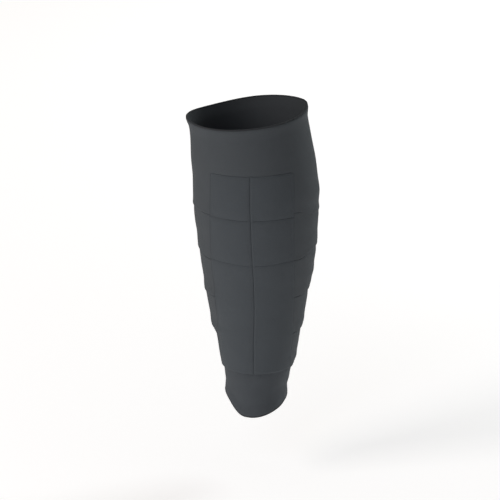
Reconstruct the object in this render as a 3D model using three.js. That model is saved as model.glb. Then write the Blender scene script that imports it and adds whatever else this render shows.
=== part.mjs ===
// A calf compression sleeve in the form that it has when worn: a tapered tube, open at its knee end
// and its ankle end. Over the tube lie a wide top band, four side bands that lap like shingles, and a
// strip of six back panels with seam grooves between them. Each open end has a bound edge.
//
// Millimetres. +Z runs up from the ankle end to the knee end, -Y is the calf side, or back, and +X the
// outer side of a sleeve in its right-hand form. The origin is on the axis at the fullest girth.

import * as THREE from "three";

// Heights along the axis, from the rim down
const rimHeight = 82; // from the fullest girth
const collarHeight = 51.5; // from the rim to the back panels
const panelRise = 49; // of each upper and middle back panel
const bandPitch = 41; // of each side band that shows beside the lower back panels
const cuffHeight = 29.5; // from the bottom seam to the lower edge
const ankleRise = 14; // from the lower edge to the slimmest girth

// Inner size of the tube at each station: its width, and its depth behind and before the axis
const knee = { width: 114.5, back: 57, front: 56.5 };
const calf = { width: 121, back: 63, front: 53.5 };
const ankle = { width: 60, back: 38, front: 38 };

// How the tube departs from a straight upright cone
const upperLean = -9; // sideways shift of the axis at the rim
const lowerLean = 1.7; // sideways shift of the axis along the taper
const frontTaper = 0.16; // share of the width that the front loses towards its ridge
const rimRise = 7.5; // rise of the rim on the outer side, and its fall on the inner side
const rimDip = 7; // fall of the rim along the back
const rimDipSkew = 0.3; // share by which it falls further on the outer side
const rimFlare = 1.6; // outward roll of the rim
const rimFlareHeight = 12;
const hemRise = -2.8; // rise of the lower edge on the outer side, and its fall on the inner side
const hemDip = 14; // further fall of the lower edge at the back
const hemDipTurn = -0.1; // radians from the back line to the lowest point

// Cloth
const tubeWall = 1.5;
const bandThickness = 1.2;
const panelThickness = 1.9; // at the middle of a padded back panel
const panelEdgeThickness = 1.1;
const layerGap = 0.4; // clearance between two layers of cloth
const lap = 8; // how far a band lies over the next one
const edgeRound = 1.2; // width of the worn-down edge of a band or panel

// Back panels and side bands
const panelWidth = 45; // along the cloth, from the centre seam to the side seam
const seamGap = 1.2; // width of the groove along a seam
const cornerRadius = 4; // of the panel strip's top corners

// Bound edges
const bindingHeight = 1.8;
const bindingGap = 0.3; // clearance between a bound edge and the cloth's end
const bindingProud = 0.3; // how far the lower one stands out from each face of the cloth

// Facets
const ringColumns = 48;
const bandColumns = 36;
const panelColumns = 8;
const topBandColumns = { overStrip: 4, outside: 14 }; // on each side of the back line
const bindingSides = 6;
const girthSteps = 90; // steps that measure a distance along the cloth

// Sections above the calf. rise is a share of the way to the rim, width, back and front are shares of
// the way from the knee's size (0) to the calf's (1), and lean is a share of upperLean.
const upperSections = [
  { rise: 1.15, width: -0.2, back: -0.1, front: -0.1, lean: 1.2 },
  { rise: 1.0, width: 0.0, back: 0.0, front: 0.0, lean: 1.0 },
  { rise: 0.75, width: 0.45, back: 0.38, front: 0.35, lean: 0.71 },
  { rise: 0.5, width: 0.79, back: 0.7, front: 0.65, lean: 0.43 },
  { rise: 0.25, width: 0.98, back: 0.93, front: 0.9, lean: 0.2 },
];

// Sections from the calf down. drop is a share of the way to the ankle, width, back and front are
// shares of the way from the ankle's size (0) to the calf's (1), and lean is a share of lowerLean.
const lowerSections = [
  { drop: 0.0, width: 1.0, back: 1.0, front: 1.0, lean: 0.0 },
  { drop: 0.1, width: 0.97, back: 0.97, front: 0.97, lean: 0.1 },
  { drop: 0.2, width: 0.92, back: 0.9, front: 0.92, lean: 0.6 },
  { drop: 0.3, width: 0.85, back: 0.79, front: 0.85, lean: 0.8 },
  { drop: 0.4, width: 0.755, back: 0.64, front: 0.76, lean: 0.9 },
  { drop: 0.5, width: 0.645, back: 0.48, front: 0.65, lean: 0.6 },
  { drop: 0.6, width: 0.52, back: 0.33, front: 0.53, lean: 0.5 },
  { drop: 0.7, width: 0.395, back: 0.2, front: 0.4, lean: 0.9 },
  { drop: 0.8, width: 0.285, back: 0.09, front: 0.28, lean: 1.2 },
  { drop: 0.9, width: 0.125, back: 0.02, front: 0.13, lean: 1.0 },
  { drop: 1.0, width: 0.02, back: 0.0, front: 0.0, lean: 0.4 },
  { drop: 1.06, width: -0.01, back: 0.03, front: 0.02, lean: 0.7 },
  { drop: 1.15, width: -0.03, back: 0.08, front: 0.08, lean: 0.9 },
];

// Lower edges of the bands. lift is how far an edge is drawn up beside the back panels, as a share of
// the lap, and stand how far it stands off the tube, as a share of one layer of cloth.
const bandEdges = [
  { name: "top_band", innerLift: 0.3, outerLift: 0.7, innerStand: 1.2, outerStand: 1.0 },
  { name: "side_band_1", innerLift: 0.25, outerLift: 0.45, innerStand: 1.0, outerStand: 1.0 },
  { name: "side_band_2", innerLift: 0.5, outerLift: 0.25, innerStand: 1.0, outerStand: 1.0 },
  { name: "side_band_3", innerLift: 0.2, outerLift: 0.2, innerStand: 1.8, outerStand: 1.0 },
  { name: "side_band_4", innerLift: 0.1, outerLift: 0.1, innerStand: 0.0, outerStand: 0.0 },
];
const liftReach = 22; // how far from the panel strip an edge is still drawn up

const topSeamHeight = rimHeight - collarHeight;
const middleSeamHeight = topSeamHeight - panelRise;
const lowerSeamHeight = middleSeamHeight - panelRise;
const bottomSeamHeight = lowerSeamHeight - bandPitch * (bandEdges.length - 2);
const hemHeight = bottomSeamHeight - cuffHeight;
const ankleHeight = hemHeight + ankleRise;

const { lerp, smoothstep, clamp } = THREE.MathUtils;

// The sizes of the tube at every listed station, from the top down
const stations = [
  ...upperSections.map((s) => ({
    z: s.rise * rimHeight,
    halfWidth: lerp(knee.width, calf.width, s.width) / 2,
    back: lerp(knee.back, calf.back, s.back),
    front: lerp(knee.front, calf.front, s.front),
    shift: s.lean * upperLean,
  })),
  ...lowerSections.map((s) => ({
    z: s.drop * ankleHeight,
    halfWidth: lerp(ankle.width, calf.width, s.width) / 2,
    back: lerp(ankle.back, calf.back, s.back),
    front: lerp(ankle.front, calf.front, s.front),
    shift: s.lean * lowerLean,
  })),
];

// One size of the tube at height z, on a smooth curve through the stations
function sizeAt(name, z) {
  const last = stations.length - 2;
  let i = stations.findIndex((s, k) => k < last && z >= stations[k + 1].z);
  if (i < 0) i = last;
  const [a, b] = [stations[i], stations[i + 1]];
  const before = stations[Math.max(i - 1, 0)];
  const after = stations[Math.min(i + 2, stations.length - 1)];
  const span = b.z - a.z;
  const slopeA = ((b[name] - before[name]) / (b.z - before.z)) * span;
  const slopeB = ((after[name] - a[name]) / (after.z - a.z)) * span;
  const t = clamp((z - a.z) / span, 0, 1);
  const rest = 1 - t;
  return (
    rest * rest * (1 + 2 * t) * a[name] +
    t * t * (3 - 2 * t) * b[name] +
    t * rest * rest * slopeA -
    t * t * rest * slopeB
  );
}

const sectionCache = new Map();

// The section of the tube at height z, with its girth measured from the back line towards +X
function sectionAt(z) {
  const key = z.toFixed(4);
  if (!sectionCache.has(key)) {
    const section = {
      halfWidth: sizeAt("halfWidth", z),
      back: sizeAt("back", z),
      front: sizeAt("front", z),
      shift: sizeAt("shift", z),
      lengths: [0],
    };
    let last = outline(section, 0);
    for (let i = 1; i <= girthSteps; i++) {
      const point = outline(section, (Math.PI * i) / girthSteps);
      section.lengths.push(section.lengths[i - 1] + point.distanceTo(last));
      last = point;
    }
    sectionCache.set(key, section);
  }
  return sectionCache.get(key);
}

// A point of a section's outline. Angle 0 is the back line and a quarter turn the outer side.
function outline(section, angle) {
  const ahead = Math.max(0, -Math.cos(angle));
  const depth = Math.cos(angle) > 0 ? section.back : section.front;
  const taper = 1 - frontTaper * ahead * ahead;
  const x = section.shift + section.halfWidth * taper * Math.sin(angle);
  return new THREE.Vector2(x, -depth * Math.cos(angle));
}

// The angle that lies a distance along the cloth from the back line, on the side of its sign
function angleAt(distance, z) {
  const { lengths } = sectionAt(z);
  const reach = Math.abs(distance);
  let i = lengths.findIndex((length) => length >= reach);
  if (i < 0) i = girthSteps;
  const from = Math.max(i - 1, 0);
  const span = lengths[i] - lengths[from] || 1;
  const steps = from + (reach - lengths[from]) / span;
  return (Math.sign(distance) * Math.PI * steps) / girthSteps;
}

const halfGirth = (z) => sectionAt(z).lengths[girthSteps];
const hemFall = (angle) => hemDip * Math.max(0, Math.cos(angle - hemDipTurn)) ** 2;
const hemAt = (angle) => hemHeight + hemRise * Math.sin(angle) - hemFall(angle);
const rimFall = (angle) => rimDip * Math.sqrt(Math.max(0, Math.cos(angle)));
const rimAt = (angle) =>
  rimHeight + rimRise * Math.sin(angle) - rimFall(angle) * (1 + rimDipSkew * Math.sin(angle));

// A point that stands off the tube's inner face, level with z
function standOffAt(angle, z, standOff) {
  const section = sectionAt(z);
  const here = outline(section, angle);
  const step = Math.PI / girthSteps / 2;
  const along = outline(section, angle + step).sub(outline(section, angle - step)).normalize();
  const rim = rimAt(angle);
  const out = standOff + rimFlare * smoothstep(z, rim - rimFlareHeight, rim);
  return new THREE.Vector3(here.x + along.y * out, here.y - along.x * out, z);
}

// Values from one to another in equal steps, with an extra one close inside each end
function spread(from, to, steps, inset) {
  const near = inset * Math.sign(to - from);
  const inside = Array.from({ length: steps + 1 }, (_, i) => lerp(from + near, to - near, i / steps));
  return inset ? [from, ...inside, to] : inside;
}

// A closed solid between an outer and an inner sheet of points, each a list of rows from the top down
// whose points run towards +X at the back. A ring joins its last column to its first.
function solidBetween(outer, inner, ring) {
  const rows = outer.length;
  const columns = outer[0].length;
  const index = (sheet, r, c) => (sheet * rows + r) * columns + (c % columns);
  const faces = [];
  const quad = (a, b, c, d) => faces.push(a, b, c, a, c, d);
  const lastColumn = ring ? columns : columns - 1;
  for (let c = 0; c < lastColumn; c++) {
    for (let r = 0; r < rows - 1; r++) {
      quad(index(0, r, c), index(0, r + 1, c), index(0, r + 1, c + 1), index(0, r, c + 1));
      quad(index(1, r, c), index(1, r, c + 1), index(1, r + 1, c + 1), index(1, r + 1, c));
    }
    quad(index(1, 0, c), index(0, 0, c), index(0, 0, c + 1), index(1, 0, c + 1));
    const end = rows - 1;
    quad(index(0, end, c), index(1, end, c), index(1, end, c + 1), index(0, end, c + 1));
  }
  for (let r = 0; !ring && r < rows - 1; r++) {
    const end = columns - 1;
    quad(index(0, r, 0), index(1, r, 0), index(1, r + 1, 0), index(0, r + 1, 0));
    quad(index(1, r, end), index(0, r, end), index(0, r + 1, end), index(1, r + 1, end));
  }
  const geometry = new THREE.BufferGeometry().setFromPoints([...outer.flat(), ...inner.flat()]);
  geometry.setIndex(faces);
  geometry.computeVertexNormals();
  return geometry;
}

// A sheet of cloth as a solid. spotAt(u, v) gives its angle and height, lift(u, v, spot) the stand-off
// of its inner face and thickness(u, v) its thickness.
function cloth({ columns, rows, spotAt, lift, thickness, ring = false }) {
  const sheet = (outerShare) =>
    rows.map((v) =>
      columns.map((u) => {
        const spot = spotAt(u, v);
        return standOffAt(spot.angle, spot.z, lift(u, v, spot) + outerShare * thickness(u, v));
      }),
    );
  return solidBetween(sheet(1), sheet(0), ring);
}

const ringAngles = Array.from({ length: ringColumns }, (_, i) => (2 * Math.PI * i) / ringColumns);

// The tube that everything else is sewn on
function tube() {
  return cloth({
    columns: ringAngles,
    rows: [0, 0.035, 0.1, 0.17, 0.25, 0.33, 0.42, 0.5, 0.58, 0.66, 0.74, 0.82, 0.89, 0.95, 1],
    spotAt: (angle, v) => ({ angle, z: lerp(rimAt(angle), hemAt(angle), v) }),
    lift: () => 0,
    thickness: () => tubeWall,
    ring: true,
  });
}

const tubeFace = tubeWall + layerGap; // stand-off of the first layer on the tube
const lapStep = bandThickness + layerGap; // how far a lapped edge stands off the layer below

// Height of a band's lower edge a distance from the back line
function lowerEdge(height, edge, distance) {
  const lift = distance > 0 ? edge.outerLift : edge.innerLift;
  const away = Math.abs(distance) - panelWidth;
  return height + lap * lift * (1 - smoothstep(away, 0, liftReach));
}

// Stand-off of a band: it runs level through the lap at its top and at its foot, and widens evenly
// between them
function bandLift(spot, top, bottom, edge) {
  const stand = lerp(edge.innerStand, edge.outerStand, (1 + Math.sin(spot.angle)) / 2);
  return tubeFace + stand * lapStep * clamp((top - lap - spot.z) / (top - bottom - 2 * lap), 0, 1);
}

// Cloth thins towards a worn edge. away is the distance from that edge.
const wornEdge = (away, full, thin) => lerp(thin, full, clamp(away / edgeRound, 0, 1));

// A side band runs from the outer side seam round the front to the inner one. Its top edge is hidden
// under the band above.
function sideBand(shownTop, bottom, edge) {
  const top = shownTop + lap - layerGap;
  const height = top - bottom;
  const start = panelWidth + seamGap / 2;
  const distanceAt = (share, z) => {
    const along = lerp(start, 2 * halfGirth(z) - start, share);
    return along > halfGirth(z) ? along - 2 * halfGirth(z) : along;
  };
  return cloth({
    columns: spread(0, 1, bandColumns, 0),
    rows: [0, lap / height, 0.5, 1 - lap / height, 1 - edgeRound / height, 1],
    spotAt: (share, v) => {
      const z = lerp(top, lowerEdge(bottom, edge, distanceAt(share, bottom)), v);
      return { angle: angleAt(distanceAt(share, z), z), z };
    },
    lift: (share, v, spot) => bandLift(spot, top, bottom, edge),
    thickness: (share, v) => wornEdge((1 - v) * height, bandThickness, bandThickness / 2),
  });
}

// Height of the panel strip's top seam, which falls off round its two corners
function stripTop(distance) {
  const past = clamp(Math.abs(distance) - (panelWidth - cornerRadius), 0, cornerRadius);
  return topSeamHeight - cornerRadius + Math.sqrt(cornerRadius ** 2 - past ** 2);
}

// The top band covers the tube from the rim down, and is cut out round the two upper back panels
function topBand(edge) {
  const cutSide = panelWidth + seamGap / 2;
  const corner = panelWidth - cornerRadius;
  const height = rimHeight - middleSeamHeight;
  const girth = halfGirth(0);
  const overStrip = spread(0, corner, topBandColumns.overStrip, 0);
  const roundCorner = [0.6, 0.9, 1].map((share) => corner + share * cornerRadius);
  const outside = spread(cutSide, girth, topBandColumns.outside, 0);
  const distances = [...overStrip, ...roundCorner, ...outside];
  const mirrored = distances.slice(1, -1).map((distance) => -distance).reverse();
  const reachAt = (distance, z) => {
    const away = Math.abs(distance) - cutSide;
    const reach = lerp(cutSide, halfGirth(z), away / (girth - cutSide));
    return Math.sign(distance) * (away > 0 ? reach : Math.abs(distance));
  };
  const bottomAt = (distance) => {
    const overPanels = Math.abs(distance) < cutSide;
    return overPanels ? stripTop(distance) + seamGap : lowerEdge(middleSeamHeight, edge, distance);
  };
  return cloth({
    columns: [...distances, ...mirrored],
    rows: [0, lap / height, 0.3, 0.5, 0.7, 1 - lap / height, 1 - edgeRound / height, 1],
    spotAt: (distance, v) => {
      const top = rimAt(angleAt(reachAt(distance, rimHeight), rimHeight));
      const z = lerp(top, bottomAt(distance), v);
      return { angle: angleAt(reachAt(distance, z), z), z };
    },
    lift: (distance, v, spot) => bandLift(spot, rimHeight, middleSeamHeight, edge),
    thickness: (distance, v) => wornEdge((1 - v) * height, bandThickness, bandThickness / 2),
    ring: true,
  });
}

// A padded back panel between two seams, on the inner (-1) or outer (1) side of the centre seam
function backPanel(side, topAt, bottom, rowSteps) {
  const near = seamGap / 2;
  const far = panelWidth - seamGap / 2;
  const ends = side > 0 ? [near, far] : [-far, -near];
  const foot = bottom + seamGap / 2;
  const height = topAt(0) - foot;
  return cloth({
    columns: spread(...ends, panelColumns, edgeRound),
    rows: spread(0, height, rowSteps, edgeRound),
    spotAt: (distance, v) => {
      const z = lerp(topAt(distance), foot, v / height);
      return { angle: angleAt(distance, z), z };
    },
    lift: () => tubeFace,
    thickness: (distance, v) => {
      const away = Math.min(distance - ends[0], ends[1] - distance, v, height - v);
      return wornEdge(away, panelThickness, panelEdgeThickness);
    },
  });
}

// A bound edge: a rounded bead that follows one end of the cloth. inner and outer are the stand-offs
// of its faces, and centreAt gives the height of its middle.
function binding(inner, outer, centreAt) {
  const middle = (inner + outer) / 2;
  const halfWidth = (outer - inner) / 2;
  const sides = Array.from({ length: bindingSides }, (_, i) => (2 * Math.PI * (i + 0.5)) / bindingSides);
  const points = ringAngles.map((angle) =>
    sides.map((turn) => {
      const out = (halfWidth * Math.cos(turn)) / Math.cos(Math.PI / bindingSides);
      const up = (bindingHeight / 2) * Math.sin(turn);
      const centre = centreAt(angle);
      return standOffAt(angle, centre, middle + out).setZ(centre + up);
    }),
  );
  const faces = [];
  for (let c = 0; c < ringColumns; c++) {
    for (let s = 0; s < bindingSides; s++) {
      const next = (c + 1) % ringColumns;
      const turned = (s + 1) % bindingSides;
      const [a, b] = [c * bindingSides + s, next * bindingSides + s];
      const [d, e] = [next * bindingSides + turned, c * bindingSides + turned];
      faces.push(a, b, d, a, d, e);
    }
  }
  const geometry = new THREE.BufferGeometry().setFromPoints(points.flat());
  geometry.setIndex(faces);
  geometry.computeVertexNormals();
  return geometry;
}

const knit = new THREE.MeshStandardMaterial({ color: 0x45494d, roughness: 0.92, metalness: 0 });
const bandKnit = new THREE.MeshStandardMaterial({ color: 0x484c50, roughness: 0.9, metalness: 0 });
const panelKnit = new THREE.MeshStandardMaterial({ color: 0x464b50, roughness: 0.9, metalness: 0 });
const tape = new THREE.MeshStandardMaterial({ color: 0x2f3235, roughness: 0.85, metalness: 0 });

const sleeve = new THREE.Group();

function add(name, geometry, material) {
  const mesh = new THREE.Mesh(geometry, material);
  mesh.name = name;
  sleeve.add(mesh);
}

add("sleeve_body", tube(), knit);
add("top_band", topBand(bandEdges[0]), bandKnit);

bandEdges.slice(1).forEach((edge, i) => {
  const bottom = lowerSeamHeight - i * bandPitch;
  const top = i ? bottom + bandPitch : middleSeamHeight;
  add(edge.name, sideBand(top, bottom, edge), bandKnit);
});

const panelRows = [
  { name: "upper", topAt: stripTop, bottom: middleSeamHeight, rowSteps: 4 },
  { name: "middle", topAt: () => middleSeamHeight - seamGap / 2, bottom: lowerSeamHeight, rowSteps: 4 },
  { name: "lower", topAt: () => lowerSeamHeight - seamGap / 2, bottom: bottomSeamHeight, rowSteps: 9 },
];
for (const row of panelRows) {
  add(`back_panel_${row.name}_inner`, backPanel(-1, row.topAt, row.bottom, row.rowSteps), panelKnit);
  add(`back_panel_${row.name}_outer`, backPanel(1, row.topAt, row.bottom, row.rowSteps), panelKnit);
}

const bindingReach = bindingHeight / 2 + bindingGap;
const rimCloth = tubeFace + bandThickness;
add("top_binding", binding(0, rimCloth, (angle) => rimAt(angle) + bindingReach), tape);
const hemFaces = [-bindingProud, tubeWall + bindingProud];
add("bottom_binding", binding(...hemFaces, (angle) => hemAt(angle) - bindingReach), tape);

export default sleeve;
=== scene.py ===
"""A calf compression sleeve in slate grey knit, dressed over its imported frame.

Metres. +Z runs up the sleeve, -Y is the calf side, or back, and +X the outer side. Every piece is laid
out on the tube's outer face: turn is the angle round the axis from the back line, s the distance along
the cloth from that line, both positive towards +X, z the height, and off how far a point stands off.
"""

import math

import bpy
import numpy as np
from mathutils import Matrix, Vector
from mathutils.bvhtree import BVHTree


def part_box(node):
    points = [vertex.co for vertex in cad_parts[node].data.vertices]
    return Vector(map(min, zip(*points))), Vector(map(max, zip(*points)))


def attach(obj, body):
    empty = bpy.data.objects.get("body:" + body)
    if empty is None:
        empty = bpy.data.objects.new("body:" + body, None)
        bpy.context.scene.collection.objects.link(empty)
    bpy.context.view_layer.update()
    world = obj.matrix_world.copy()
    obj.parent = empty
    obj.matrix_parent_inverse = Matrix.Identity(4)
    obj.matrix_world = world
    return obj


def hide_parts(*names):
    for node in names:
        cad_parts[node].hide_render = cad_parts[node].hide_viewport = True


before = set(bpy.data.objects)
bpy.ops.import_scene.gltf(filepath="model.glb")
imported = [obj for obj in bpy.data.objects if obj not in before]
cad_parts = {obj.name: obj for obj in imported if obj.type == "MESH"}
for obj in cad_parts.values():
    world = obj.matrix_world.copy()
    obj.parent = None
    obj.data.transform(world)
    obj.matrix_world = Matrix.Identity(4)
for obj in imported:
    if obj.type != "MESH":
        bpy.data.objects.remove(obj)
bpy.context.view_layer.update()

MM = 0.001

# The camera
CAMERA_AZIMUTH, CAMERA_ELEVATION = 5.5, 16  # in degrees
CAMERA_DISTANCE = 3.0
SENSOR = 36.0
FRAME_PIXELS = 500
PIXEL = 1.03 * MM  # at the sleeve
ORIGIN_PIXEL = (256, 188)  # where the axis at the fullest girth shows

# Cloth
TUBE_WALL = 1.5 * MM
LAYER = 1.2 * MM  # thickness of a band
LAYER_GAP = 0.4 * MM  # between the tube and a band
LAP = 12 * MM  # how far a band lies over the next one
FLUSH = 3 * MM  # within which of a side seam the bands lie quite flush with the panels
UNDER_LAP = 0.85 * MM  # stand-off of a band's face there, in the lap
UNDER_EDGE = 1.4 * MM  # and at the end of the lap
PRESSED = 3 * MM  # how far from its lower edge a band is pressed thin there
TUCK = 9 * MM  # how far up from its lower edge a band is drawn in
REST_GAP = 0.08 * MM  # between a band's foot and the band below
EDGE_KEPT = (0.25, 0.5)  # share of its thickness at a band's lower edge, and beside the panels
FAR = 1.0  # further than any band reaches
PANEL_LEVEL = 2.1 * MM  # stand-off of a back panel's face
PANEL_CROWN = 0.6 * MM  # how much further its middle stands off
PANEL_BACK = 0.12 * MM  # stand-off of its inner face
SEAM_SHOULDER = 2.6 * MM  # how far from a seam the cloth is pulled in
SEAM_DIP = 0.4 * MM  # depth of the dip in the tube along the bottom seam
DIP_DROP = 0.5 * MM  # how far below the seam it lies
DIP_REACH = (2 * MM, 0.6 * MM)  # down and up
DOUBLE_DIP = (5 * MM, 15 * MM)  # where along the seam it is twice as deep, and its reach
CREASE = 0.25 * MM  # depth of a short crease below the bottom seam
CREASE_PLACE = (-1 * MM, 7.5 * MM)  # its distance from the back line, and below the seam
CREASE_REACH = (5 * MM, 0.9 * MM)
EDGE_ROUND = 2.2 * MM
CORNER = 4 * MM  # radius of the panel strip's top corners
CORNER_REACH = 5 * MM  # how far round a corner the cloth moves with it
RIM_ROLL = 1.6 * MM
RIM_ROLL_HEIGHT = 12 * MM
HEM_ROLL = 1.2 * MM
HEM_ROLL_HEIGHT = 12 * MM
END_PINCH = 2.5 * MM  # how far from a bound edge the cloth is pinched
END_KEPT = 0.62  # share of its stand-off that the cloth keeps there
FLOOR_DROP = 72 * MM  # from the lower edge to the floor
FLOOR_HALF = 16

# How uneven each kind of cloth is, how large its waves are, and how many times as long round the sleeve
UNEVEN = {
    "tube": (0.22 * MM, 16 * MM, 2.6),
    "band": (0.12 * MM, 26 * MM, 1.6),
    "panel": (0.07 * MM, 15 * MM, 1.0),
}

# Steps of the meshes
FINE = 0.15 * MM  # the first from an edge
BAND_STEP, BAND_ROW = 1.7 * MM, 1.6 * MM
TOP_BAND_STEP = 1.8 * MM  # outside the panel strip
PANEL_STEP = 1.3 * MM
TUBE_COLUMNS = 240
TUBE_ROWS = (0.0062, 0.0006)  # step and first step, as shares of its height

# Soft swells of the whole cloth: how many millimetres it swells at heights in millimetres. The key is
# the side, in degrees from the back line.
SWELLS = {
    -88: [
        (76, 1.3), (69, 0.3), (56, -0.6), (36, 0), (16, -0.5), (2, 0.1), (-8, 0.6), (-20, 1.6), (-31, 1.5),
        (-45, 0.1), (-58, 0.9), (-68, 1.4), (-76, 0.8), (-84, -0.1), (-97, -0.8), (-108, 1.3), (-117, 0.5),
        (-126, -0.9), (-133, -1.6), (-140, -0.8), (-147, 1.5), (-154, -0.5), (-161, -0.7), (-180, 0.3),
        (-205, 0), (-218, 0.3), (-235, -0.3),
    ],
    88: [
        (91, 1.8), (80, 0.9), (60, 0.5), (40, 0.9), (26, 1.3), (13, 1.3), (0, 2.4), (-12, 1.4), (-19, 1.4),
        (-24, 2.0), (-31, 1.7), (-42, 1.2), (-50, 1.7), (-57, 1.6), (-66, 2.5), (-76, 1.8), (-85, 1.9),
        (-94, 0.5), (-103, 1.0), (-111, 1.7), (-121, 1.3), (-133, 0.6), (-144, 1.0), (-153, 0.8), (-163, 0),
        (-173, -0.3), (-186, 1.4), (-197, 1.2), (-204, 1.1), (-211, 0.3), (-222, 0.6), (-235, 1.0),
    ],
}
SWELL_REACH = 38  # in degrees

# How many millimetres higher than the frame's the cloth's upper end lies, at degrees from the back line
RIM_RISE = [
    (-180, 0), (-120, 0), (-96, 1.3), (-78, 2.8), (-60, 1.8), (-45, 1.0), (-25, 0.2), (0, 0), (180, 0),
]

# And how many lower its lower end lies
HEM_FULLNESS = [
    (-180, 0), (-115, -0.8), (-78, -2.2), (-55, -2.7), (-46, -2.5), (-36, -1.0), (-26, 0.8), (-17, 2.0),
    (-5, 1.4), (10, 0.8), (26, 0.8), (40, 1.2), (50, 1.3), (58, 0.9), (65, 0.1), (73, -0.5), (82, -1.2),
    (115, -0.5), (180, 0),
]

# Half the slit along each kind of seam, and the share of its stand-off that the cloth keeps there
SEAMS = {
    "centre": (0.05 * MM, 0.68),
    "inner": (0.02 * MM, 0.76),
    "inner_low": (0.02 * MM, 0.64),  # the inner one low down
    "outer": (0.02 * MM, 0.9),
    "top": (0.04 * MM, 0.7),
    "middle": (0.03 * MM, 0.77),
    "lower": (0.03 * MM, 0.82),
    "bottom": (0.1 * MM, 0.64),
}

# How many millimetres higher than the frame's the cross seams lie, at distances in millimetres from the
# back line
CROSS_RISE = {
    "top": [(-90, -2.7), (-45, -2.7), (0, -2.7), (45, -1.3), (90, -2.7)],
    "middle": [(-45, 1.0), (0, 0.5), (45, 1.6)],
    "lower": [(-45, 2.6), (0, 0.6), (45, 3.4)],
    "bottom": [(-45, 1.9), (45, 1.9)],
}

# The bands' lower edges: how many millimetres they rise beside the seam and further round, inner side
# and then outer; how far each side stands off above the edge, as a share of one layer of cloth; and
# within how many millimetres of the seams the band comes down to lie flush with the panels
BAND_EDGES = {
    "top_band": {"rise": ((2.4, 3.0), (6.0, -2.0)), "stand": (0.7, 0.2), "flush": 30},
    "side_band_1": {"rise": ((2.0, 6.0), (3.6, 9.5)), "stand": (0.9, 0.6), "flush": 30},
    "side_band_2": {"rise": ((1.0, 0.5), (2.0, 3.0)), "stand": (1.4, 1.3), "flush": 26},
    "side_band_3": {"rise": ((1.6, 0.0), (1.6, 2.5)), "stand": (2.2, 1.3), "flush": 20},
    "side_band_4": {"rise": ((1.9, 1.5), (1.9, 3.5)), "stand": (0.5, 1.2), "flush": 20},
}
RISE_REACH = (5 * MM, 32 * MM)  # from the side seam
RISE_END = (0.62, 0.98)  # shares of the way to the front between which the rise runs out

# How many millimetres the long seams wander towards +X at heights in millimetres. The key is the seam's
# own distance from the back line.
SEAM_DRIFT = {
    -45: [(40, 0.0), (26, 2.0), (0, 1.5), (-45, 0.2), (-80, 0.9), (-108, 3.5), (-140, 2.0), (-190, 1.0)],
    0: [(0, 0.0), (-20, 0.6), (-50, 1.4), (-80, 2.6), (-125, 2.8), (-150, 1.8), (-190, 1.6)],
}
DRIFT_REACH = 45


def smooth(x, low, high):
    """0 below low, 1 above high and an eased step between."""
    t = np.clip((x - low) / (high - low), 0, 1)
    return t * t * (3 - 2 * t)


def mix(a, b, t):
    return a + (b - a) * t


def bump(x, middle, reach, power=2):
    """1 at the middle, falling away over the reach. The higher the power, the flatter its top."""
    return np.exp(-(((x - middle) / reach) ** power))


def degrees(turn, start=0):
    """An angle in degrees from the start, between -180 and 180."""
    return (np.degrees(turn) - start + 180) % 360 - 180


def curve(x, places, values):
    """A smooth curve through the values at the places, level beyond the last ones."""
    slopes = np.gradient(values, places)
    slopes[0] = slopes[-1] = 0
    x = np.clip(x, places[0], places[-1])
    i = np.clip(np.searchsorted(places, x) - 1, 0, len(places) - 2)
    span = places[i + 1] - places[i]
    t = (x - places[i]) / span
    rest = 1 - t
    return (
        rest * rest * (1 + 2 * t) * values[i]
        + t * t * (3 - 2 * t) * values[i + 1]
        + (t * rest * rest * slopes[i] - t * t * rest * slopes[i + 1]) * span
    )


def through(x, spots):
    """A smooth curve through (place, value) spots."""
    places, values = (np.array(part, float) for part in zip(*sorted(spots)))
    return curve(x, places, values)


def node_points(node):
    return np.array([v.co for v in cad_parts[node].data.vertices])


class EdgeLine:
    """The height of one end of the cloth at each angle, read from its bound edge and evened out."""

    EVEN_OUT = np.radians([-15, -10, -5, 0, 5, 10, 15])
    COLUMN_GAP = math.radians(1.5)  # points that are further apart belong to separate columns

    def __init__(self, node):
        points = node_points(node)
        turn = np.arctan2(points[:, 0], -points[:, 1])
        order = np.argsort(turn)
        turn, height = turn[order], points[order, 2]
        columns = np.split(np.arange(len(turn)), np.flatnonzero(np.diff(turn) > self.COLUMN_GAP) + 1)
        self.turn = np.array([turn[c].mean() for c in columns])
        self.z = np.array([(height[c].min() + height[c].max()) / 2 for c in columns])
        self.half = max((height[c].max() - height[c].min()) / 2 for c in columns)
        self.z = np.mean([self(self.turn + ahead) for ahead in self.EVEN_OUT], axis=0)

    def __call__(self, turn):
        """A smooth closed curve through the columns."""
        turn = (np.asarray(turn, float) + math.pi) % (2 * math.pi) - math.pi
        wide = np.concatenate([self.turn - 2 * math.pi, self.turn, self.turn + 2 * math.pi])
        return curve(turn, wide, np.tile(self.z, 3))


RIM_MIDDLE = EdgeLine("top_binding")
HEM_MIDDLE = EdgeLine("bottom_binding")
BINDING_GAP = 0.3 * MM


def rim_at(turn):
    """Height of the cloth's upper end."""
    return RIM_MIDDLE(turn) - RIM_MIDDLE.half - BINDING_GAP + through(degrees(turn), RIM_RISE) * MM


def hem_at(turn):
    """Height of the cloth's lower end."""
    return HEM_MIDDLE(turn) + HEM_MIDDLE.half + BINDING_GAP - through(degrees(turn), HEM_FULLNESS) * MM


def drift(s, z):
    """How far the sewn lines lie towards +X of where the frame has them."""
    total = np.zeros(np.broadcast(s, z).shape)
    for line, spots in SEAM_DRIFT.items():
        near = 1 - smooth(np.abs(np.asarray(s) / MM - line), 0, DRIFT_REACH)
        total = total + near * through(np.asarray(z) / MM, spots)
    return total * MM


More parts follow.
